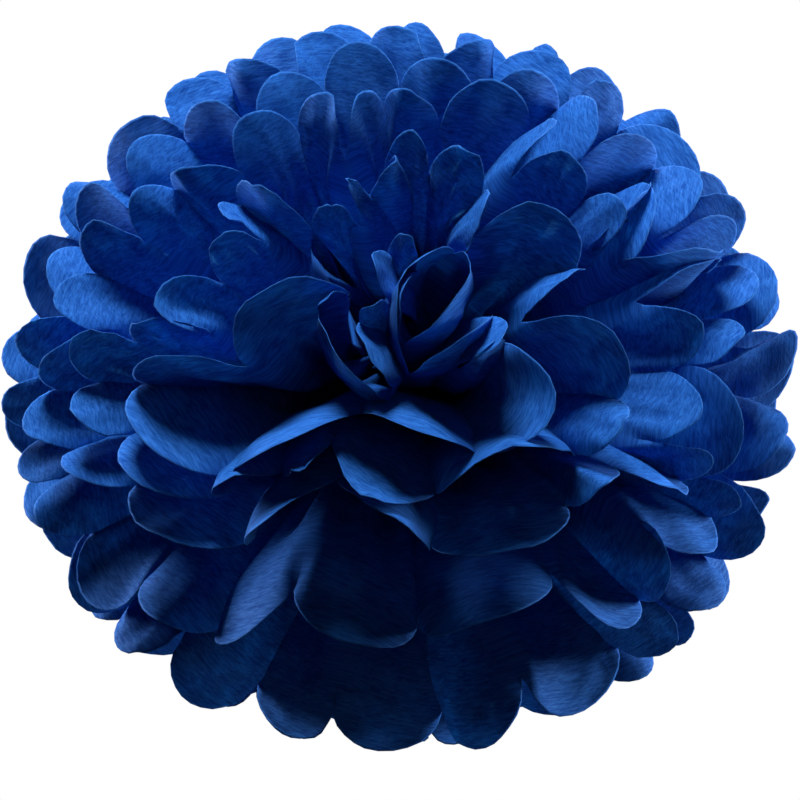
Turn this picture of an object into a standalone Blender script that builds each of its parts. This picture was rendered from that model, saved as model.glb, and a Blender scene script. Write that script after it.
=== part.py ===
"""Tissue paper pom pom: eleven sheets of tissue, folded together, tied and fanned to a ball.

Every sheet is one piece of paper. Its pleats run from the rim of the left fan, through the
wire tie in the middle, to the rim of the right fan, and the cut ends make round lobes, one
for each pleat face, with a notch at each crease. The viewer is on the -Y side and +Z is up.
"""
import math

import bpy
from mathutils import Vector

# Cut and folded paper
PETAL_REACH = 0.125        # from the tie to the top of a lobe
LOBE_DEPTH = 0.017         # height of a round lobe above its notches
WALL = 0.0003              # stand-in thickness of the tissue
FRONT_STEPS = 4            # flats across one pleat face
REAR_STEPS = 3
OUTLINE = (1.03, 1.0, 0.95)  # the ball is wider than high

# Waist of the stack, where the wire pinches it
NECK_WIDTH = 0.008         # of the outermost sheets, front and back
NECK_LENGTH = 0.005
NECK_STEP = 0.0005         # each sheet further in bends round the one outside it
SHEET_PITCH = 0.00066
SEAM_GAP = 0.0030          # between the left and the right fan, near the tie
RIM_GAP = 0.0012           # and at the rim
NECK_EVEN = 0.6            # share of the pleats' places at the waist that is evenly spread
MID_RADIUS = 0.030         # where the pleats have opened out
MID_EASE = 0.7             # how much the folds are eased to an even fan there
FIRST_CONE = 14.0
LAST_CONE = 166.0

# The rosette's pole faces the viewer, tipped up
POLE_TILT = math.radians(10.0)

# Tie wire
WIRE_RADIUS = 0.0004
WIRE_CLEARANCE = 0.0003
SHANK_TOP = 0.019
EYE_RADIUS = 0.0022

# Crease ends of the front sheets, clockwise from the top seam. Each is the clock direction
# seen by the viewer, the slope away from the line of sight, and how far the pleat face that
# follows is cupped outward, in degrees.
FRONT_RINGS = (
    ((354, 13, 0), (355, 22, 0), (6, 19, -1), (5, 7, 0), (21, 24, -1), (30, 3, 2), (50, 18, 0),
     (69, 9, 0), (66, 17, 5), (131, 16, -1), (235, 7, 0), (240, 30, 0), (271, 42, 4),
     (279, 24, 5), (333, 17, 0), (315, 17, 0), (250, 2, 0), (329, 12, 0)),
    ((333, 30, 1), (347, 29, 0), (351, 32, 0), (356, 38, 0), (7, 38, 1), (19, 34, 1),
     (24, 25, 5), (54, 34, 0), (59, 22, 2), (94, 34, 0), (112, 29, -2), (163, 18, -2),
     (230, 13, -1), (232, 22, -1), (236, 33, 0), (259, 46, 1), (271, 53, 2), (280, 43, 0),
     (287, 31, 2), (303, 34, 1), (320, 31, 1), (321, 42, 3)),
    ((8, 50, 2), (25, 54, 0), (26, 43, 2), (42, 44, 1), (52, 40, 0), (48, 58, 0), (59, 42, 1),
     (67, 63, 1), (69, 43, 2), (86, 45, 2), (103, 42, 0), (110, 51, 0), (112, 37, 1),
     (128, 34, 2), (170, 27, -1), (213, 17, -1), (223, 35, 1), (249, 48, 1), (257, 60, 2),
     (270, 66, 1), (282, 53, 1), (292, 60, 1), (302, 52, 1), (314, 55, 2), (326, 47, 2),
     (340, 52, 2), (348, 44, 1), (357, 54, 1)),
    ((0, 62, 1), (14, 58, 2), (28, 66, 0), (36, 52, 2), (47, 68, 0), (58, 56, 2), (67, 72, 1),
     (77, 58, 1), (85, 50, 2), (108, 57, 0), (114, 63, 1), (121, 48, 1), (134, 60, 0),
     (144, 43, -0.5), (176, 43, -0.5), (206, 39, -0.5), (214, 57, 1), (231, 62, 2), (243, 70, 0),
     (253, 73, 1), (262, 77, 1), (273, 73, 2), (284, 62, 1), (296, 71, 0), (307, 61, 2),
     (322, 66, 0), (333, 55, 2), (347, 62, 1)),
    ((354, 75, 1), (5, 68, 0), (15, 77, 2), (29, 70, 1), (38, 79, 1), (55, 71, 2), (66, 82, 1),
     (82, 71, 2), (92, 80, 0), (106, 70, 2), (121, 79, 1), (132, 69, 0), (142, 80, 2),
     (159, 72, 1), (173, 82, 2), (191, 74, 2), (204, 84, 0), (219, 74, 2), (229, 84, 1),
     (244, 77, 2), (257, 86, 1), (270, 80, 1), (281, 86, 2), (297, 76, 0), (307, 83, 2),
     (322, 71, 1), (333, 80, 0), (343, 70, 1)),
    ((358, 92, 1), (8, 84, 1), (19, 92, 0), (26, 83, 1), (37, 92, 2), (50, 85, 1), (65, 95, 2),
     (80, 86, 1), (95, 94, 2), (107, 85, 1), (118, 94, 1), (130, 85, 0), (138, 95, 1),
     (149, 87, 2), (162, 97, 2), (176, 89, 2), (190, 98, 2), (204, 90, 1), (216, 98, 1),
     (228, 89, 0), (237, 99, 2), (251, 90, 1), (263, 98, 0), (273, 91, 1), (283, 98, 1),
     (295, 90, 2), (309, 96, 1), (323, 86, 1), (335, 93, 1), (347, 84, 1)),
)

# Rear sheets follow a rule: creases up and down about a cone round the pole, with wide and
# narrow faces by turns. The cone's angle differs between the ball's top and its bottom.
REAR_TOP_CONES = (96.0, 111.0, 127.0, 144.0, 161.0)
REAR_BOTTOM_CONES = (114.0, 124.0, 136.0, 150.0, 164.0)
REAR_PLEATS = (24, 24, 24, 22, 20)
REAR_RISES = (-5.0, 1.5, -6.0, 6.0)      # the four creases of two pleats, up and down
REAR_SHIFTS = (0.0, 0.35, -0.25, 0.1)    # and to the side, as a share of a face
REAR_WANDER = 1.5
REAR_TURN = math.radians(4.0)
REAR_BOW = 1.5

SIDE = Vector((1.0, 0.0, 0.0))
POLE = Vector((0.0, -math.cos(POLE_TILT), math.sin(POLE_TILT)))
ACROSS = Vector((0.0, math.sin(POLE_TILT), math.cos(POLE_TILT)))
SHEETS = len(FRONT_RINGS) + len(REAR_PLEATS)


def view_direction(clock, slope):
    """Unit vector at a clock angle round the line of sight and a slope away from it."""
    turn, lean = math.radians(clock), math.radians(slope)
    flat = math.sin(lean)
    return Vector((flat * math.sin(turn), -math.cos(lean), flat * math.cos(turn)))


def pole_direction(turn, cone):
    """Unit vector at a turn round the pole, clockwise from the top seam."""
    flat = math.sin(cone)
    return (SIDE * math.sin(turn) + ACROSS * math.cos(turn)) * flat + POLE * math.cos(cone)


def rear_ring(number):
    """Crease ends of a rear sheet, in degrees from the pole, with a slow wander."""
    pleats = REAR_PLEATS[number]
    top, bottom = REAR_TOP_CONES[number], REAR_BOTTOM_CONES[number]
    ends = []
    for index in range(pleats):
        turn = 2.0 * math.pi * (index + REAR_SHIFTS[index % 4]) / pleats
        cone = (top + bottom) / 2 + (top - bottom) / 2 * math.cos(turn)
        wander = REAR_WANDER * math.sin(2.0 * turn + 0.6 * number)
        drift = REAR_TURN * math.sin(3.0 * turn + 2.1 * number)
        angle = math.radians(cone + wander + REAR_RISES[index % 4])
        ends.append((pole_direction(turn + drift, angle), REAR_BOW if index % 4 < 2 else -REAR_BOW))
    return ends


def sheet_rings():
    rings = []
    for ring in FRONT_RINGS:
        rings.append([(view_direction(clock, slope), cup) for clock, slope, cup in ring])
    for number in range(len(REAR_PLEATS)):
        rings.append(rear_ring(number))
    return rings


def ring_direction(ring, place):
    """Direction at a place along the ring, counted in pleat faces, and the share across."""
    index = int(math.floor(place)) % len(ring)
    share = place - math.floor(place)
    start, cup = ring[index]
    end = ring[(index + 1) % len(ring)][0]
    middle = start.lerp(end, share).normalized()
    outward = middle.cross(end - start).normalized()
    bow = math.tan(math.radians(cup)) * 4.0 * share * (1.0 - share)
    return (middle + outward * bow).normalized(), share


def shaped(direction, radius):
    return Vector([radius * part * grow for part, grow in zip(direction, OUTLINE)])


def pleat_turns(ring, side):
    """Share of the half turn at each crease, from the top seam to the bottom one.

    A pleat that doubles back at the rim still takes its place in order at the waist.
    """
    pleats = len(ring) // 2
    turns = []
    for index in range(pleats + 1):
        direction = ring[(side * index) % len(ring)][0]
        turn = math.atan2(side * direction.dot(SIDE), direction.dot(ACROSS)) / math.pi
        turns.append(min(max(turn, 0.0), 1.0))
    turns[0], turns[-1] = 0.0, 1.0
    rising = [max(turns[:index + 1]) for index in range(pleats + 1)]
    falling = [min(turns[index:]) for index in range(pleats + 1)]
    even = [index / pleats for index in range(pleats + 1)]
    return [NECK_EVEN * own + (1.0 - NECK_EVEN) * (low + high) / 2
            for own, low, high in zip(even, rising, falling)]


def petal_point(ring, turns, cone, across, row, side, height):
    """Point of a sheet: row 0 at the neck, row 1 in mid pleat, row 2 at the cut rim."""
    index = min(int(across), len(turns) - 2)
    turn = turns[index] + (turns[index + 1] - turns[index]) * (across - index)
    if row == 0:
        inner = (SHEETS - 1) / 2 - abs(height) / SHEET_PITCH
        half_width = NECK_WIDTH / 2 + NECK_STEP * inner
        half_length = NECK_LENGTH / 2 + NECK_STEP * inner
        level = half_width * (1.0 - 2.0 * turn)
        return SIDE * side * half_length + ACROSS * level + POLE * height
    place = across if side > 0 else len(ring) - across
    direction, share = ring_direction(ring, place)
    notch = PETAL_REACH - LOBE_DEPTH
    if row == 1:
        radius = MID_RADIUS
        even = pole_direction(side * math.pi * turn, math.radians(cone))
        direction = direction.lerp(even, MID_EASE).normalized()
    else:
        radius = notch + LOBE_DEPTH * math.sqrt(4.0 * share * (1.0 - share))
    gap = SEAM_GAP if row == 1 else RIM_GAP
    return shaped(direction, radius) + SIDE * side * gap / 2


def paper_material(name, colour):
    material = bpy.data.materials.new(name)
    material.use_nodes = True
    shader = material.node_tree.nodes["Principled BSDF"]
    shader.inputs["Base Color"].default_value = (*colour, 1.0)
    shader.inputs["Roughness"].default_value = 0.8
    shader.inputs["Metallic"].default_value = 0.0
    return material


def wire_material():
    material = bpy.data.materials.new("painted_wire")
    material.use_nodes = True
    shader = material.node_tree.nodes["Principled BSDF"]
    shader.inputs["Base Color"].default_value = (0.02, 0.05, 0.25, 1.0)
    shader.inputs["Roughness"].default_value = 0.35
    shader.inputs["Metallic"].default_value = 0.6
    return material


def tissue_sheet(name, ring, number, collection):
    """One sheet: a flat grid, bent to its folds and given the paper's thickness."""
    steps = FRONT_STEPS if number < len(FRONT_RINGS) else REAR_STEPS
    columns = len(ring) // 2 * steps
    bpy.ops.mesh.primitive_grid_add(x_subdivisions=columns, y_subdivisions=5, size=1.0)
    sheet = bpy.context.object
    sheet.name = name
    height = SHEET_PITCH * ((SHEETS - 1) / 2 - number)
    cone = FIRST_CONE + (LAST_CONE - FIRST_CONE) * number / (SHEETS - 1)
    turns = {side: pleat_turns(ring, side) for side in (-1, 1)}
    for vertex in sheet.data.vertices:
        column = round((vertex.co.x + 0.5) * columns)
        step = round((vertex.co.y + 0.5) * 5)
        side = 1 if step > 2 else -1
        row = step - 3 if step > 2 else 2 - step
        vertex.co = petal_point(ring, turns[side], cone, column / steps, row, side, height)
    wall = sheet.modifiers.new("paper", "SOLIDIFY")
    wall.thickness = WALL
    wall.offset = 0.0
    deep = 0.045 + 0.004 * (number % 3)
    sheet.data.materials.append(paper_material(name + "_paper", (0.004, deep, 0.30)))
    sheet.data.shade_smooth()
    sheet.data.set_sharp_from_angle(angle=math.radians(50.0))
    place_in(sheet, collection)
    return sheet


def place_in(part, collection):
    for holder in list(part.users_collection):
        holder.objects.unlink(part)
    collection.objects.link(part)


def wire_path():
    """Route of the wire: round the waist, up the seam, round the eye and back down."""
    widest = NECK_WIDTH / 2 + NECK_STEP * (SHEETS / 2 - 1)
    half_width = widest + WIRE_CLEARANCE + WIRE_RADIUS
    half_height = SHEET_PITCH * (SHEETS - 1) / 2 + WALL / 2 + WIRE_CLEARANCE + WIRE_RADIUS
    lean = WIRE_RADIUS * 1.6
    corner = 0.0015
    route = [(lean, half_width + corner, 0.0)]
    for centre_across, centre_pole, begin in (
            (half_width - corner, -(half_height - corner), 0.0),
            (-(half_width - corner), -(half_height - corner), 90.0),
            (-(half_width - corner), half_height - corner, 180.0),
            (half_width - corner, half_height - corner, 270.0)):
        for step in range(3):
            angle = math.radians(begin + 45.0 * step)
            across = centre_across + corner * math.cos(angle)
            pole = centre_pole - corner * math.sin(angle)
            part_way = (begin + 45.0 * step) / 360.0
            route.append((lean * (1.0 - 2.0 * part_way), across, pole))
    route.append((-lean, half_width + corner, 0.0))
    for step in range(11):
        angle = math.radians(-160.0 + 32.0 * step)
        route.append((EYE_RADIUS * math.sin(angle),
                      SHANK_TOP + EYE_RADIUS * (1.0 + math.cos(angle)), 0.0))
    route.append((lean, half_width + 3.0 * corner, 0.0))
    return [SIDE * x + ACROSS * y + POLE * z for x, y, z in route]


def tie_wire(collection):
    curve = bpy.data.curves.new("tie_wire", "CURVE")
    curve.dimensions = "3D"
    curve.bevel_depth = WIRE_RADIUS
    curve.bevel_resolution = 0
    curve.use_fill_caps = True
    points = wire_path()
    spline = curve.splines.new("POLY")
    spline.points.add(len(points) - 1)
    for slot, point in zip(spline.points, points):
        slot.co = (*point, 1.0)
    wire = bpy.data.objects.new("tie_wire", curve)
    curve.materials.append(wire_material())
    collection.objects.link(wire)
    return wire


def build():
    for item in list(bpy.data.objects):
        bpy.data.objects.remove(item, do_unlink=True)
    collection = bpy.data.collections.new("tissue_pom_pom")
    bpy.context.scene.collection.children.link(collection)
    for number, ring in enumerate(sheet_rings()):
        tissue_sheet(f"sheet_{number + 1:02d}", ring, number, collection)
    tie_wire(collection)


build()
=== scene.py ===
# %% [markdown]
# Tissue paper pom pom, seen from the front.
# A ball like this is made from one stack of thin tissue. The stack is folded to and fro like
# an accordion, tied across its middle with wire, its two ends are cut round, and then every
# sheet is pulled away from its neighbour until the two fans close to a ball.
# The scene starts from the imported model, which gives the frame and the size, and swaps each
# plain folded sheet for one with soft folds, wrinkles and a paper finish.

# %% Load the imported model
import math

import bpy
import numpy as np
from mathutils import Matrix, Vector


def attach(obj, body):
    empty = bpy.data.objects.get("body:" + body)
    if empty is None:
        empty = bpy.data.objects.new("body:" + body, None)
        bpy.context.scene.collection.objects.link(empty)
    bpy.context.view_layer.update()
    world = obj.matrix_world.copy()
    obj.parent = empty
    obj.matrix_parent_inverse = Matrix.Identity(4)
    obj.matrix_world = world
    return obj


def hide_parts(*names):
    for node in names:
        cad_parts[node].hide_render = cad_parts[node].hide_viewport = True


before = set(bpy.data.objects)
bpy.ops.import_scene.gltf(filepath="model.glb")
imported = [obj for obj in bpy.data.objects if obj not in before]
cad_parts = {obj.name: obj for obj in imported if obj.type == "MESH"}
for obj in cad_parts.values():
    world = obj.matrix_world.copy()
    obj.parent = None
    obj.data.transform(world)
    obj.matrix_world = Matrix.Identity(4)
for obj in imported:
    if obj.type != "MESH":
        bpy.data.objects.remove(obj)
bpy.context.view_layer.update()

print("sheets in the model:", sum(name.startswith("sheet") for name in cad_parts))

# %% [markdown]
# The camera comes first, because the folds are placed by how they look from it.
# The photo was taken from straight ahead, from about a metre away, with a long lens, so the
# lens below gives the ball the same share of a square picture. The ball sits a little above
# the middle of the picture, and a small lens shift does that without turning the camera.

# %% Camera
EYE_DISTANCE = 1.0
LENS = 138.6
SHIFT_UP = -0.015

camera_data = bpy.data.cameras.new("front_camera")
camera_data.lens = LENS
camera_data.sensor_width = 36.0
camera_data.shift_y = SHIFT_UP
camera_data.clip_start = 0.01
camera = bpy.data.objects.new("front_camera", camera_data)
bpy.context.scene.collection.objects.link(camera)
camera.location = (0.0, -EYE_DISTANCE, 0.0)
camera.rotation_euler = (math.radians(90.0), 0.0, 0.0)
bpy.context.scene.camera = camera
print("camera stands", EYE_DISTANCE, "m in front of the tie")

# %% [markdown]
# Every sheet is one rectangle of paper. It is folded in straight pleats, and after the fluffing
# the ends of its pleats stand on a closed ring round the ball. A ring is all that a designer
# has to draw: each pair of numbers below is the direction in which one crease end points, and
# the third is how far the pleat face after it bows outward. The rings of the six front
# sheets follow the folds that show in the picture, one inside the next, so that the folds of
# two sheets never cross. Lengths are in metres and angles in degrees.

# %% Sizes of the folded paper
PETAL_REACH = 0.125
LOBE_DEPTH = 0.017
OUTLINE = np.array((1.03, 1.0, 0.95))
NECK_WIDTH = 0.008
NECK_LENGTH = 0.005
NECK_STEP = 0.0005
SHEET_PITCH = 0.00066
SEAM_GAP = 0.0006
RIM_GAP = 0.0002
SEAM_EASE = 0.006
NECK_EVEN = 0.6
MID_RADIUS = 0.030
MID_EASE = 0.7
FIRST_CONE = 14.0
LAST_CONE = 166.0
POLE_TILT = math.radians(10.0)
PLEAT = 0.035
DEPTH_SPREAD = (0.88, 1.06)              # no two lobes are cut quite alike
CUT_LEAN = 0.16

SIDE = np.array((1.0, 0.0, 0.0))
POLE = np.array((0.0, -math.cos(POLE_TILT), math.sin(POLE_TILT)))
ACROSS = np.array((0.0, math.sin(POLE_TILT), math.cos(POLE_TILT)))
print("ball is", 2000 * PETAL_REACH * OUTLINE[0], "mm wide")

# %% Crease ends of the front sheets: clock, slope and bow in degrees
FRONT_RINGS = (
    ((354, 13, 0), (355, 22, 0), (6, 19, -1), (5, 7, 0), (21, 24, -1), (30, 3, 2), (50, 18, 0),
     (69, 9, 0), (66, 17, 5), (131, 16, -1), (235, 7, 0), (240, 30, 0), (271, 42, 4),
     (279, 24, 5), (333, 17, 0), (315, 17, 0), (250, 2, 0), (329, 12, 0)),
    ((333, 30, 1), (347, 29, 0), (351, 32, 0), (356, 38, 0), (7, 38, 1), (19, 34, 1),
     (24, 25, 5), (54, 34, 0), (59, 22, 2), (94, 34, 0), (112, 29, -2), (163, 18, -2),
     (230, 13, -1), (232, 22, -1), (236, 33, 0), (259, 46, 1), (271, 53, 2), (280, 43, 0),
     (287, 31, 2), (303, 34, 1), (320, 31, 1), (321, 42, 3)),
    ((8, 50, 2), (25, 54, 0), (26, 43, 2), (42, 44, 1), (52, 40, 0), (48, 58, 0), (59, 42, 1),
     (67, 63, 1), (69, 43, 2), (86, 45, 2), (103, 42, 0), (110, 51, 0), (112, 37, 1),
     (128, 34, 2), (170, 27, -1), (213, 17, -1), (223, 35, 1), (249, 48, 1), (257, 60, 2),
     (270, 66, 1), (282, 53, 1), (292, 60, 1), (302, 52, 1), (314, 55, 2), (326, 47, 2),
     (340, 52, 2), (348, 44, 1), (357, 54, 1)),
    ((0, 62, 1), (14, 58, 2), (28, 66, 0), (36, 52, 2), (47, 68, 0), (58, 56, 2), (67, 72, 1),
     (77, 58, 1), (85, 50, 2), (108, 57, 0), (114, 63, 1), (121, 48, 1), (134, 60, 0),
     (144, 43, -0.5), (176, 43, -0.5), (206, 39, -0.5), (214, 57, 1), (231, 62, 2), (243, 70, 0),
     (253, 73, 1), (262, 77, 1), (273, 73, 2), (284, 62, 1), (296, 71, 0), (307, 61, 2),
     (322, 66, 0), (333, 55, 2), (347, 62, 1)),
    ((354, 75, 1), (5, 68, 0), (15, 77, 2), (29, 70, 1), (38, 79, 1), (55, 71, 2), (66, 82, 1),
     (82, 71, 2), (92, 80, 0), (106, 70, 2), (121, 79, 1), (132, 69, 0), (142, 80, 2),
     (159, 72, 1), (173, 82, 2), (191, 74, 2), (204, 84, 0), (219, 74, 2), (229, 84, 1),
     (244, 77, 2), (257, 86, 1), (270, 80, 1), (281, 86, 2), (297, 76, 0), (307, 83, 2),
     (322, 71, 1), (333, 80, 0), (343, 70, 1)),
    ((358, 92, 1), (8, 84, 1), (19, 92, 0), (26, 83, 1), (37, 92, 2), (50, 85, 1), (65, 95, 2),
     (80, 86, 1), (95, 94, 2), (107, 85, 1), (118, 94, 1), (130, 85, 0), (138, 95, 1),
     (149, 87, 2), (162, 97, 2), (176, 89, 2), (190, 98, 2), (204, 90, 1), (216, 98, 1),
     (228, 89, 0), (237, 99, 2), (251, 90, 1), (263, 98, 0), (273, 91, 1), (283, 98, 1),
     (295, 90, 2), (309, 96, 1), (323, 86, 1), (335, 93, 1), (347, 84, 1)),
)

# %% [markdown]
# The picture doesn't show the five rear sheets, so they follow a rule. Each one is a cone round
# the pole of the ball, the line through its front and back, and stands a little further back
# than the one before. Its creases rise and fall by turns, with a second, smaller swing that
# makes pairs of unequal petals, and a slow wander keeps the ring from looking turned on a
# machine. A rule was chosen because it keeps the sheets evenly apart with very few numbers.

# %% Sizes of the rear sheets
REAR_TOP_CONES = (96.0, 111.0, 127.0, 144.0, 161.0)
REAR_BOTTOM_CONES = (114.0, 124.0, 136.0, 150.0, 164.0)
REAR_PLEATS = (24, 24, 24, 22, 20)
REAR_RISES = (-5.0, 1.5, -6.0, 6.0)      # the four creases of two pleats, up and down
REAR_SHIFTS = (0.0, 0.35, -0.25, 0.1)    # and to the side, as a share of a face
REAR_WANDER = 1.5
REAR_TURN = math.radians(4.0)
REAR_BOW = 1.5
WANDER_SWINGS, WANDER_STEP = 2.0, 0.6
TURN_SWINGS, TURN_STEP = 3.0, 2.1
SHEETS = len(FRONT_RINGS) + len(REAR_PLEATS)
print("sheets:", SHEETS)

# %% [markdown]
# A crease end is a direction from the tie, so the helpers below turn angles into unit vectors.
# The front sheets are measured in the picture, as a clock angle and a slope away from the line
# of sight. The rear sheets are measured round the pole, which leans back a little at the top.


# %% Directions of the crease ends
def unit(vectors):
    return vectors / np.linalg.norm(vectors, axis=-1, keepdims=True)


def view_direction(clock, slope):
    """Unit vector at a clock angle round the line of sight and a slope away from it."""
    turn, lean = math.radians(clock), math.radians(slope)
    return np.array((math.sin(lean) * math.sin(turn), -math.cos(lean),
                     math.sin(lean) * math.cos(turn)))


def pole_direction(turn, cone):
    """Unit vectors at turns round the pole, clockwise from the top seam."""
    turn = np.asarray(turn)[..., None]
    flat = (SIDE * np.sin(turn) + ACROSS * np.cos(turn)) * math.sin(cone)
    return flat + POLE * math.cos(cone)


def rear_ring(number):
    """Crease ends of a rear sheet, in degrees from the pole, with a slow wander."""
    pleats = REAR_PLEATS[number]
    top, bottom = REAR_TOP_CONES[number], REAR_BOTTOM_CONES[number]
    ends, bows = [], []
    for index in range(pleats):
        turn = 2.0 * math.pi * (index + REAR_SHIFTS[index % 4]) / pleats
        cone = (top + bottom) / 2 + (top - bottom) / 2 * math.cos(turn)
        wander = REAR_WANDER * math.sin(WANDER_SWINGS * turn + WANDER_STEP * number)
        drift = REAR_TURN * math.sin(TURN_SWINGS * turn + TURN_STEP * number)
        ends.append(pole_direction(turn + drift,
                                   math.radians(cone + wander + REAR_RISES[index % 4])))
        bows.append(REAR_BOW if index % 4 < 2 else -REAR_BOW)
    return np.array(ends), np.array(bows)


print("straight ahead is", view_direction(0, 0))

# %% Rings of all the sheets
rings = []
for front in FRONT_RINGS:
    rings.append((np.array([view_direction(clock, slope) for clock, slope, bow in front]),
                  np.array([float(bow) for clock, slope, bow in front])))
rings += [rear_ring(number) for number in range(len(REAR_PLEATS))]
print("lobes in all:", sum(len(ends) for ends, bows in rings))

# %% [markdown]
# From a ring the whole sheet follows. A flat grid stands for the paper, with its columns across
# the pleats and its rows along them. The rows leave the wire as a narrow neck, open to an
# even fan, and run straight out to the ring, where the cut makes one round lobe for each face.
# The columns crowd together near the creases, which keeps the folds crisp and the
# lobes round with few faces.

# %% Grid of one sheet
COLUMNS_PER_LOBE = 14
NECK_ROWS = 8
FAN_ROWS = 44
FAN_CROWDING = 1.25
FOLD_START, FOLD_FULL = 0.2, 0.9


def pleat_turns(ends, side):
    """Share of the half turn at each crease, from the top seam to the bottom one."""
    pleats = len(ends) // 2
    own = ends[(side * np.arange(pleats + 1)) % len(ends)]
    turns = np.clip(np.arctan2(side * (own @ SIDE), own @ ACROSS) / math.pi, 0.0, 1.0)
    turns[0], turns[-1] = 0.0, 1.0
    rising = np.maximum.accumulate(turns)
    falling = np.minimum.accumulate(turns[::-1])[::-1]
    even = np.linspace(0.0, 1.0, pleats + 1)
    return NECK_EVEN * even + (1.0 - NECK_EVEN) * (rising + falling) / 2


def lobe_shares(rows_out):
    """Places across one lobe for each row: even near the tie, crowded at the folds outside."""
    steps = np.linspace(0.0, 1.0, COLUMNS_PER_LOBE + 1)
    crowded = (1.0 - np.cos(math.pi * steps)) / 2
    weight = np.clip(rows_out, 0.0, 1.0)[:, None]
    return steps + (crowded - steps) * weight


print("points across a lobe:", COLUMNS_PER_LOBE + 1)


# %% Directions across a lobe
def lobe_directions(ends, bows, side, lobe, share):
    """Directions across a lobe, with the outward bow of its face."""
    if side > 0:
        first, across = lobe % len(ends), share
    else:
        first, across = (-lobe - 1) % len(ends), 1.0 - share
    start, end = ends[first], ends[(first + 1) % len(ends)]
    middle = unit(start + (end - start) * across[..., None])
    outward = unit(np.cross(middle, end - start))
    bow = math.tan(math.radians(bows[first])) * 4.0 * across * (1.0 - across)
    return unit(middle + outward * bow[..., None])


def smooth_ramp(values, low, high):
    """Rises softly from 0 to 1 between two levels."""
    part = np.clip((values - low) / (high - low), 0.0, 1.0)
    return part * part * (3.0 - 2.0 * part)


print("half way up a ramp:", smooth_ramp(0.5, 0.0, 1.0))

# %% [markdown]
# Paper is never quite flat. Soft waves are made by adding a few sine waves of random heading
# and length, which is quick and gives the same result each time because the seed is fixed.
# Four kinds of unevenness are laid on the folds: gathers that run out from the wire, where the
# pleat is squeezed to a thread, a belly that cups each petal, long soft wrinkles over the
# faces, and a curl of each lobe's tip. A cloth simulation could make them too, but it would
# be slow, and it wouldn't keep the folds where the picture has them.

# %% Waves and wrinkles
GATHER_HEIGHT = 0.0052
GATHER_SLOPE = 0.15
GATHERS_PER_LOBE = 2.0
GATHER_FADE, GATHER_END = 0.050, 0.092
GATHER_END_WANDER = 0.01
GATHER_END_WAVE = (0.05, 0.5)
WRINKLE_HEIGHT = 0.0005
WRINKLE_WAVE = (0.016, 0.045)
WRINKLE_START, WRINKLE_FULL = 0.02, 0.06
RIPPLE_HEIGHT = 0.0007
RIPPLE_WAVE = (0.022, 0.03)
RIPPLE_START = 0.08
CURL, CREASE_CURL = 0.0045, 0.35
CURL_START, CURL_EASE = 0.075, 1.5
BELLY, BELLY_START, BELLY_EASE = 0.0070, 0.040, 1.5
BELLY_TURNS, BELLY_FADE = 8.3, 3.3       # the sheet where the belly turns round, counted from 0
WAVES_IN_SUM = 7
WAVE_LEVEL = 0.6


def soft_waves(x, y, lengths, seed):
    """Sum of sine waves, about -1 to 1, with typical lengths across and along the sheet."""
    length_x, length_y = lengths
    chance = np.random.default_rng(seed)
    total = np.zeros_like(x)
    for _ in range(WAVES_IN_SUM):
        across = chance.normal() * 2.0 * math.pi / length_x
        along = chance.normal() * 2.0 * math.pi / length_y
        total += np.sin(across * x + along * y + chance.uniform(0.0, 2.0 * math.pi))
    return total / math.sqrt(WAVES_IN_SUM / 2.0) * WAVE_LEVEL


print("tallest wave:", GATHER_HEIGHT * 1000, "mm")

# %% [markdown]
# One half of a sheet runs from the wire to the rim. On the real ball the paper leaves the wire
# as a crushed neck, opens to an even fan, and only further out is each pleat teased to its own
# place. The half is therefore built from three curves, at the neck, at a middle radius and at
# the rim, with straight paper between them, and the cut makes the rim's round lobes.

# %% Rows of a half, from the neck out
neck_part = np.linspace(0.0, 1.0, NECK_ROWS + 1)[:-1]
fan_part = 1.0 - (1.0 - np.linspace(0.0, 1.0, FAN_ROWS + 1)) ** FAN_CROWDING
along = np.concatenate((neck_part, fan_part))[:, None]
is_neck = (np.arange(len(along)) < NECK_ROWS)[:, None]
outness = np.concatenate((np.zeros(NECK_ROWS), smooth_ramp(fan_part, FOLD_START, FOLD_FULL)))
shares = lobe_shares(outness)
print("rows in a half:", len(along))


# %% Neck and cut of a sheet
def neck_and_middle(number, side, turn, directions):
    """Points of the neck and of the middle radius for turns from the top seam down."""
    centre = (SHEETS - 1) / 2
    height = SHEET_PITCH * (centre - number)
    cone = math.radians(FIRST_CONE + (LAST_CONE - FIRST_CONE) * number / (SHEETS - 1))
    inner = centre - abs(centre - number)
    half_width = NECK_WIDTH / 2 + NECK_STEP * inner
    half_length = NECK_LENGTH / 2 + NECK_STEP * inner
    level = half_width * (1.0 - 2.0 * turn)
    neck = SIDE * side * half_length + ACROSS * level[..., None] + POLE * height
    even = pole_direction(side * math.pi * turn, cone)
    mid_direction = unit(directions + (even - directions) * MID_EASE)
    return neck, MID_RADIUS * mid_direction * OUTLINE + SIDE * side * SEAM_GAP / 2


def cut_lobe(chance, share):
    """Distance of the cut from the tie across a lobe, and how far into the lobe it is."""
    depth = LOBE_DEPTH * chance.uniform(*DEPTH_SPREAD)
    lean = chance.uniform(-CUT_LEAN, CUT_LEAN)
    round_cut = np.sqrt(np.clip(4.0 * share * (1.0 - share), 0.0, 1.0))
    radius = PETAL_REACH - LOBE_DEPTH + depth * round_cut * (1.0 + lean * (share - 0.5))
    return radius, round_cut


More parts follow.
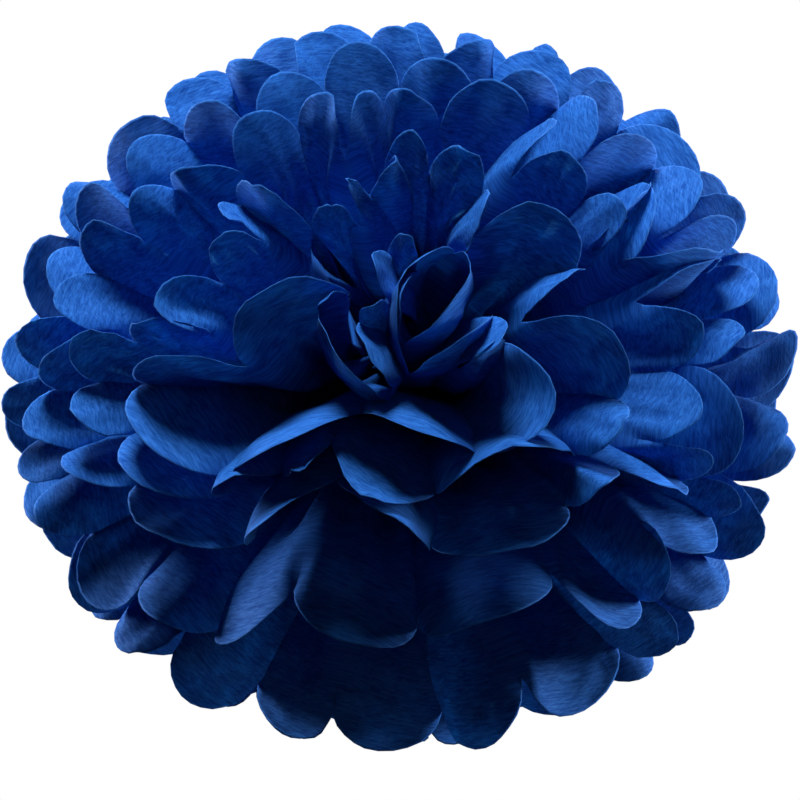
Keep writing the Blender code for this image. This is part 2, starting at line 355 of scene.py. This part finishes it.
def lobe_lift(chance, number, reach, radius, round_cut, curl):
    """How far the curl of the tip and the belly lift a lobe off its straight fold."""
    curl = curl + chance.normal(0.0, CURL) * round_cut ** 2
    belly = BELLY * np.clip((BELLY_TURNS - number) / BELLY_FADE, -1.0, 1.0)
    swell = np.clip((reach - BELLY_START) / (radius - BELLY_START), 0.0, 1.0)
    return (curl * smooth_ramp(reach, CURL_START, PETAL_REACH) ** CURL_EASE
            - belly * np.sin(math.pi * swell ** BELLY_EASE))


print("deepest lobe:", round(1000 * LOBE_DEPTH * DEPTH_SPREAD[1], 1), "mm")


# %% Half of a sheet
def half_sheet(number, side):
    """Points, flat places, distance from the cut and lift of one half, from the neck out."""
    ends, bows = rings[number]
    pleats = len(ends) // 2
    turns = pleat_turns(ends, side)
    chance = np.random.default_rng(100 * number + 10 + side)     # another seed for each half
    crease_curl = chance.normal(0.0, CURL * CREASE_CURL, pleats + 1)
    crease_curl[[0, -1]] = 0.0
    size = (len(along), pleats * COLUMNS_PER_LOBE + 1)
    points, flat = np.zeros((*size, 3)), np.zeros((*size, 2))
    from_cut, lift = np.zeros(size), np.zeros(size)
    for lobe in range(pleats):
        last = lobe == pleats - 1
        start = lobe * COLUMNS_PER_LOBE
        columns = slice(start, start + COLUMNS_PER_LOBE + int(last))
        share = shares if last else shares[:, :-1]
        directions = lobe_directions(ends, bows, side, lobe, share)
        turn = turns[lobe] + (turns[lobe + 1] - turns[lobe]) * share
        neck, mid = neck_and_middle(number, side, turn, directions)
        radius, round_cut = cut_lobe(chance, share)
        tip = radius[..., None] * directions * OUTLINE + SIDE * side * RIM_GAP / 2
        points[:, columns] = np.where(is_neck[..., None],
                                      neck + (mid - neck) * along[..., None],
                                      mid + (tip - mid) * along[..., None])
        reach = np.where(is_neck, along * MID_RADIUS,
                         MID_RADIUS + (radius - MID_RADIUS) * along)
        flat[:, columns, 0] = (lobe + share) * PLEAT
        flat[:, columns, 1] = reach * side
        from_cut[:, columns] = radius - reach
        curl = crease_curl[lobe] + (crease_curl[lobe + 1] - crease_curl[lobe]) * share
        lift[:, columns] = lobe_lift(chance, number, reach, radius, round_cut, curl)
    return points, flat, from_cut, lift


print("points in half of the front sheet:", half_sheet(0, 1)[3].size)

# %% [markdown]
# The two halves are joined at the waist, inside the wire, to one grid. Its points are moved
# along the paper's own normal by the waves, so a wrinkle lifts the paper and never slides it.
# Solidify then gives the sheet its thin wall, and the flat places are kept as a UV map in
# metres, which lets the fibre pattern run through every fold as it does in real paper.

# %% Points of a whole sheet
WALL = 0.00012
PATTERN_STEP = 0.3                       # each sheet shows another stretch of the pattern
SMALLEST = 1e-12


def sheet_points(number):
    """Points, flat places and distance from the cut of a sheet, with all its unevenness."""
    left = half_sheet(number, -1)
    right = half_sheet(number, 1)
    points, flat, from_cut, lift = (
        np.concatenate((low[::-1], high)) for low, high in zip(left, right))
    along_rows = np.gradient(points, axis=0)
    along_columns = np.gradient(points, axis=1)
    normal = np.cross(along_rows, along_columns)
    normal /= np.maximum(np.linalg.norm(normal, axis=-1, keepdims=True), SMALLEST)
    reach = np.abs(flat[..., 1])
    across = flat[..., 0]
    seed = 1000 + 10 * number            # three seeds for each sheet
    height = np.minimum(GATHER_HEIGHT, GATHER_SLOPE * reach)
    gather_end = GATHER_END + GATHER_END_WANDER * soft_waves(across, reach, GATHER_END_WAVE, seed)
    height *= 1.0 - smooth_ramp(reach, GATHER_FADE, gather_end)
    gather = height * np.sin(2.0 * math.pi * GATHERS_PER_LOBE * across / PLEAT)
    wrinkle = WRINKLE_HEIGHT * soft_waves(across, reach, WRINKLE_WAVE, seed + 1)
    wrinkle *= smooth_ramp(reach, WRINKLE_START, WRINKLE_FULL)
    ripple = RIPPLE_HEIGHT * soft_waves(across, reach, RIPPLE_WAVE, seed + 2)
    ripple *= smooth_ramp(reach, RIPPLE_START, PETAL_REACH)
    to_seam = np.minimum(across, across.max() - across)
    eased = (gather + wrinkle + ripple) * smooth_ramp(to_seam, 0.0, SEAM_EASE)
    points += normal * (eased + lift)[..., None]
    return points, flat, from_cut


print("paper wall:", round(1000 * WALL, 2), "mm")


# %% Mesh of a sheet
def tissue_sheet(number, material):
    """A flat grid, bent to the points of its sheet and given the wall of the paper."""
    points, flat, from_cut = sheet_points(number)
    rows, columns = points.shape[:2]
    bpy.ops.object.select_all(action="DESELECT")
    bpy.ops.mesh.primitive_grid_add(x_subdivisions=columns - 1, y_subdivisions=rows - 1,
                                    size=1.0)
    sheet = bpy.context.object
    sheet.name = f"tissue_{number + 1:02d}"
    mesh = sheet.data
    mesh.vertices.foreach_set("co", points.reshape(-1))
    uv = mesh.uv_layers.active
    uv.name = "flat_paper"
    corner_vertex = np.empty(len(mesh.loops), dtype=np.int32)
    mesh.loops.foreach_get("vertex_index", corner_vertex)
    places = flat.reshape(-1, 2)[corner_vertex] + np.array((0.0, PATTERN_STEP * number))
    uv.data.foreach_set("uv", places.astype(np.float32).reshape(-1))
    # The distance from the cut is kept so that the paper can get a painted highlight along its
    # rims.
    cut = mesh.attributes.new("from_cut", "FLOAT", "POINT")
    cut.data.foreach_set("value", from_cut.astype(np.float32).reshape(-1))
    mesh.update()
    wall = sheet.modifiers.new("paper", "SOLIDIFY")
    wall.thickness = WALL
    wall.offset = 0.0
    bpy.ops.object.modifier_apply(modifier=wall.name)
    mesh.shade_smooth()
    mesh.materials.append(material)
    return sheet


print("grid points in a lobe:", 2 * len(along) * COLUMNS_PER_LOBE)

# %% [markdown]
# Tissue is a felt of long fibres that lie mostly one way, here across the pleats, with cloudy
# thick and thin spots between them. The fibres catch a little light and the thin spots let more
# of it through. A painted highlight makes the paper a paler blue in the last half millimetre
# before the cut, where the thin rims catch light. The patterns are drawn on the flat sheet's own
# places in metres, so their sizes are real: fibres under a millimetre wide and about six long,
# clouds about eight millimetres across. Small helpers come first, because every material here
# adds and links nodes in the same way.

# %% Node helpers
def add_node(tree, kind, place, **settings):
    node = tree.nodes.new(kind)
    node.location = place
    for key, value in settings.items():
        setattr(node, key, value)
    return node


def link_nodes(tree, source, target):
    tree.links.new(source, target)


def set_values(node, values):
    for name, value in values.items():
        node.inputs[name].default_value = value


def noise_node(tree, place, source, values):
    noise = add_node(tree, "ShaderNodeTexNoise", place)
    set_values(noise, values)
    link_nodes(tree, source, noise.inputs["Vector"])
    return noise.outputs["Fac"]


def range_node(tree, place, source, ends):
    spread = add_node(tree, "ShaderNodeMapRange", place)
    set_values(spread, ends)
    link_nodes(tree, source, spread.inputs["Value"])
    return spread.outputs["Result"]


def blend_node(tree, place, share, first, second):
    blend = add_node(tree, "ShaderNodeMix", place, data_type="FLOAT")
    blend.inputs["Factor"].default_value = share
    link_nodes(tree, first, blend.inputs[2])
    link_nodes(tree, second, blend.inputs[3])
    return blend.outputs[0]


def ramp_node(tree, place, source, stops):
    ramp = add_node(tree, "ShaderNodeValToRGB", place)
    for point, (where, colour) in zip(ramp.color_ramp.elements, stops):
        point.position = where
        point.color = (*colour, 1.0)
    link_nodes(tree, source, ramp.inputs["Fac"])
    return ramp.outputs["Color"]


def bump_node(tree, place, source, strength, height):
    bump = add_node(tree, "ShaderNodeBump", place)
    set_values(bump, {"Strength": strength, "Distance": height})
    link_nodes(tree, source, bump.inputs["Height"])
    return bump.outputs["Normal"]


print("node helpers: add, link, set, noise, range, blend, ramp and bump")

# %% [markdown]
# The pattern is a node group, so that one material can use it twice: once along the sheet and
# once at a slant, because in real tissue some fibres lie across the others. A noise that is
# stretched one way makes the fibres, and a plain noise makes the clouds.

# %% Fibre and cloud pattern of tissue
FIBRES_PER_METRE = (170.0, 1300.0, 1.0)
FIBRE_NOISE = {"Scale": 1.0, "Detail": 4.0, "Roughness": 0.62, "Distortion": 0.9}
FIBRE_SPREAD = {"From Min": 0.40, "From Max": 0.62}
CLOUD_NOISE = {"Scale": 120.0, "Detail": 5.0, "Roughness": 0.6}
CLOUD_SPREAD = {"From Min": 0.3, "From Max": 0.7}


def fibre_group():
    """Node group: places on the flat sheet in, fibre and cloud values from 0 to 1 out."""
    tree = bpy.data.node_groups.new("tissue_fibres", "ShaderNodeTree")
    sockets = tree.interface
    sockets.new_socket("Flat Place", in_out="INPUT", socket_type="NodeSocketVector")
    sockets.new_socket("Turn", in_out="INPUT", socket_type="NodeSocketVector")
    sockets.new_socket("Fibres", in_out="OUTPUT", socket_type="NodeSocketFloat")
    sockets.new_socket("Clouds", in_out="OUTPUT", socket_type="NodeSocketFloat")
    start = add_node(tree, "NodeGroupInput", (-900, 0))
    finish = add_node(tree, "NodeGroupOutput", (500, 0))
    turned = add_node(tree, "ShaderNodeMapping", (-700, 100))
    link_nodes(tree, start.outputs["Flat Place"], turned.inputs["Vector"])
    link_nodes(tree, start.outputs["Turn"], turned.inputs["Rotation"])
    stretched = add_node(tree, "ShaderNodeMapping", (-500, 100))
    stretched.inputs["Scale"].default_value = FIBRES_PER_METRE
    link_nodes(tree, turned.outputs["Vector"], stretched.inputs["Vector"])
    fibres = noise_node(tree, (-300, 100), stretched.outputs["Vector"], FIBRE_NOISE)
    clouds = noise_node(tree, (-300, -200), turned.outputs["Vector"], CLOUD_NOISE)
    fibres = range_node(tree, (-80, 100), fibres, FIBRE_SPREAD)
    clouds = range_node(tree, (-80, -200), clouds, CLOUD_SPREAD)
    link_nodes(tree, fibres, finish.inputs["Fibres"])
    link_nodes(tree, clouds, finish.inputs["Clouds"])
    return tree


fibre_pattern = fibre_group()
print("pattern outputs:", [item.name for item in fibre_pattern.interface.items_tree])

# %% [markdown]
# Tissue does two things with light: it scatters some back, dull and deep blue, and lets
# some through, a clearer and greener blue. The material mixes a Principled shader for the
# first with a Translucent one for the second. The thin clouds let more through than the thick.

# %% Paper material
DEEP_BLUE = (0.005, 0.070, 0.35)
BRIGHT_BLUE = (0.030, 0.200, 0.70)
DEEP_GLOW = (0.014, 0.220, 0.68)
GLOW_BLUE = (0.120, 0.540, 0.92)
# Painted highlight: a paler blue laid on the last half millimetre of paper before the cut.
RIM_HIGHLIGHT_BLUE = (0.08, 0.30, 0.78)
TONE_STOPS = (0.1, 0.9)
ALONG_TURN, SLANT_TURN = math.radians(9.0), math.radians(-17.0)
SLANT_SHARE = 0.3
CLOUD_SHARE = 0.3
RIM_HIGHLIGHT_RANGE = {"From Min": 0.0, "From Max": 0.0005, "To Min": 0.25, "To Max": 0.0}
PAPER_ROUGHNESS = {"To Min": 0.9, "To Max": 0.68}
LIGHT_THROUGH = {"To Min": 0.14, "To Max": 0.30}
FIBRE_BUMP, FIBRE_HEIGHT = 0.5, 0.00012
PAPER_GLOSS = {"Specular IOR Level": 0.12, "Sheen Weight": 0.02, "Sheen Roughness": 0.45,
               "Sheen Tint": (0.3, 0.5, 1.0, 1.0)}


def placed_fibres(tree, place, source, turn):
    """The fibre pattern, turned on the sheet."""
    group = add_node(tree, "ShaderNodeGroup", place, node_tree=fibre_pattern)
    group.inputs["Turn"].default_value = (0.0, 0.0, turn)
    link_nodes(tree, source, group.inputs["Flat Place"])
    return group.outputs


def tissue_material():
    material = bpy.data.materials.new("blue_tissue")
    material.use_nodes = True
    tree = material.node_tree
    shader = tree.nodes["Principled BSDF"]
    shader.location = (500, 200)
    set_values(shader, PAPER_GLOSS)
    output = tree.nodes["Material Output"]
    output.location = (1100, 100)
    places = add_node(tree, "ShaderNodeUVMap", (-900, 100), uv_map="flat_paper").outputs["UV"]
    along_sheet = placed_fibres(tree, (-650, 250), places, ALONG_TURN)
    slanted = placed_fibres(tree, (-650, 0), places, SLANT_TURN)
    felt = blend_node(tree, (-400, 200), SLANT_SHARE, along_sheet["Fibres"], slanted["Fibres"])
    tone = blend_node(tree, (-200, 100), CLOUD_SHARE, felt, along_sheet["Clouds"])
    colour = ramp_node(tree, (0, 350), tone, zip(TONE_STOPS, (DEEP_BLUE, BRIGHT_BLUE)))
    through = ramp_node(tree, (0, -250), tone, zip(TONE_STOPS, (DEEP_GLOW, GLOW_BLUE)))
    # Painted highlight: near the cut the colour turns to a paler blue, standing in for light on
    # the thin rims.
    cut = add_node(tree, "ShaderNodeAttribute", (-400, 600), attribute_name="from_cut")
    rim_highlight = range_node(tree, (-200, 600), cut.outputs["Fac"], RIM_HIGHLIGHT_RANGE)
    highlighted = add_node(tree, "ShaderNodeMix", (280, 400), data_type="RGBA")
    link_nodes(tree, rim_highlight, highlighted.inputs["Factor"])
    link_nodes(tree, colour, highlighted.inputs[6])
    highlighted.inputs[7].default_value = (*RIM_HIGHLIGHT_BLUE, 1.0)
    link_nodes(tree, highlighted.outputs[2], shader.inputs["Base Color"])
    rough = range_node(tree, (0, 80), felt, PAPER_ROUGHNESS)
    link_nodes(tree, rough, shader.inputs["Roughness"])
    bump = bump_node(tree, (280, -50), tone, FIBRE_BUMP, FIBRE_HEIGHT)
    link_nodes(tree, bump, shader.inputs["Normal"])
    shine = add_node(tree, "ShaderNodeBsdfTranslucent", (500, -200))
    link_nodes(tree, through, shine.inputs["Color"])
    link_nodes(tree, bump, shine.inputs["Normal"])
    thin = range_node(tree, (500, -400), along_sheet["Clouds"], LIGHT_THROUGH)
    both = add_node(tree, "ShaderNodeMixShader", (850, 100))
    link_nodes(tree, thin, both.inputs["Fac"])
    link_nodes(tree, shader.outputs["BSDF"], both.inputs[1])
    link_nodes(tree, shine.outputs["BSDF"], both.inputs[2])
    link_nodes(tree, both.outputs["Shader"], output.inputs["Surface"])
    return material


paper = tissue_material()
print("paper nodes:", len(paper.node_tree.nodes))

# %% [markdown]
# Eleven sheets are made with the same paper. Each replaces its plain sheet of the imported model,
# and was cut from a flat rectangle: as wide as its lobes of 35 mm, 250 mm long, less the corners
# that the round cut takes off.

for number in range(SHEETS):
    sheet = tissue_sheet(number, paper)
    node = f"sheet_{number + 1:02d}"
    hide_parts(node)
    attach(sheet, "root")

# %% [markdown]
# The wire that ties the stack keeps its shape from the model. It is florist's wire with a
# coat of dark blue paint, so it is dull and hides between the petals. A slow noise varies the
# gloss, and a fine one roughens the paint.

# %% Painted wire
WIRE_DARK = (0.002, 0.010, 0.060)
WIRE_BLUE = (0.005, 0.030, 0.160)
WIRE_STOPS = (0.35, 0.7)
WIRE_GLOSS = {"Specular IOR Level": 0.3}
WIRE_ROUGHNESS = {"To Min": 0.5, "To Max": 0.75}
WORN_NOISE = {"Scale": 400.0, "Detail": 3.0}
GRAIN_NOISE = {"Scale": 3000.0}
GRAIN_BUMP, GRAIN_HEIGHT = 0.3, 0.00005


def wire_material():
    material = bpy.data.materials.new("painted_wire")
    material.use_nodes = True
    tree = material.node_tree
    shader = tree.nodes["Principled BSDF"]
    set_values(shader, WIRE_GLOSS)
    place = add_node(tree, "ShaderNodeTexCoord", (-900, 0)).outputs["Object"]
    worn = noise_node(tree, (-700, 100), place, WORN_NOISE)
    paint = ramp_node(tree, (-450, 200), worn, zip(WIRE_STOPS, (WIRE_DARK, WIRE_BLUE)))
    link_nodes(tree, paint, shader.inputs["Base Color"])
    rough = range_node(tree, (-450, -50), worn, WIRE_ROUGHNESS)
    link_nodes(tree, rough, shader.inputs["Roughness"])
    grain = noise_node(tree, (-700, -250), place, GRAIN_NOISE)
    bump = bump_node(tree, (-250, -250), grain, GRAIN_BUMP, GRAIN_HEIGHT)
    link_nodes(tree, bump, shader.inputs["Normal"])
    return material


tie_wire = bpy.data.objects["tie_wire"]
tie_wire.material_slots[0].material = wire_material()
print("wire:", tie_wire.material_slots[0].material.name)

# %% [markdown]
# The studio is plain: one big soft lamp above and a little in front, which leaves the insides of
# the petals dark, and a second, weaker one above and behind. Two soft lamps beside the ball,
# a little behind it, shine through the single layers at its rims as the white surroundings
# do in the photo, and a faint one in front lifts the darkest folds. The world is white to the
# camera and nearly dark to the paper. The pale floor lies far below, because light from a
# near one would wash out the lower half.

# %% Lamps
LAMPS = (                                # name, place, width in metres, watts
    ("top_softbox", (-0.15, -0.45, 1.30), 0.5, 30.0),
    ("top_back", (0.10, 0.80, 1.10), 0.7, 9.0),
    ("left_back", (-1.20, 0.45, 0.25), 0.5, 26.0),
    ("right_back", (1.33, 0.30, 0.14), 0.5, 31.0),
    ("front_fill", (0.3, -1.5, 0.3), 1.0, 0.4),
)


def soft_lamp(name, place, size, power):
    """A round soft lamp that points at the tie."""
    data = bpy.data.lights.new(name, "AREA")
    data.shape = "DISK"
    data.size = size
    data.energy = power
    lamp = bpy.data.objects.new(name, data)
    bpy.context.scene.collection.objects.link(lamp)
    lamp.location = place
    lamp.rotation_euler = (-Vector(place)).to_track_quat("-Z", "Y").to_euler()


for lamp_values in LAMPS:
    soft_lamp(*lamp_values)
print("lamps:", len(LAMPS))

# %% Floor
FLOOR_LEVEL = -2.5
FLOOR_SIZE = 3.0
FLOOR_GREY = (0.75, 0.75, 0.75, 1.0)

bpy.ops.object.select_all(action="DESELECT")
bpy.ops.mesh.primitive_plane_add(size=FLOOR_SIZE, location=(0.0, 0.0, FLOOR_LEVEL))
floor = bpy.context.object
floor.name = "studio_floor"
floor_paint = bpy.data.materials.new("floor_paint")
floor_paint.use_nodes = True
set_values(floor_paint.node_tree.nodes["Principled BSDF"],
           {"Base Color": FLOOR_GREY, "Roughness": 0.9})
floor.data.materials.append(floor_paint)
print("floor at", FLOOR_LEVEL, "m")

# %% White surroundings
WHITE_TO_CAMERA = 1.0
FAINT_TO_PAPER = 0.005

world = bpy.data.worlds.new("white_studio")
bpy.context.scene.world = world
world.use_nodes = True
sky = world.node_tree
background = sky.nodes["Background"]
background.inputs["Color"].default_value = (1.0, 1.0, 1.0, 1.0)
seen = add_node(sky, "ShaderNodeLightPath", (-600, 0))
strength = add_node(sky, "ShaderNodeMix", (-300, 0), data_type="FLOAT")
strength.inputs[2].default_value = FAINT_TO_PAPER
strength.inputs[3].default_value = WHITE_TO_CAMERA
link_nodes(sky, seen.outputs["Is Camera Ray"], strength.inputs["Factor"])
link_nodes(sky, strength.outputs[0], background.inputs["Strength"])
bpy.context.scene.view_settings.view_transform = "Standard"
print("world:", world.name)
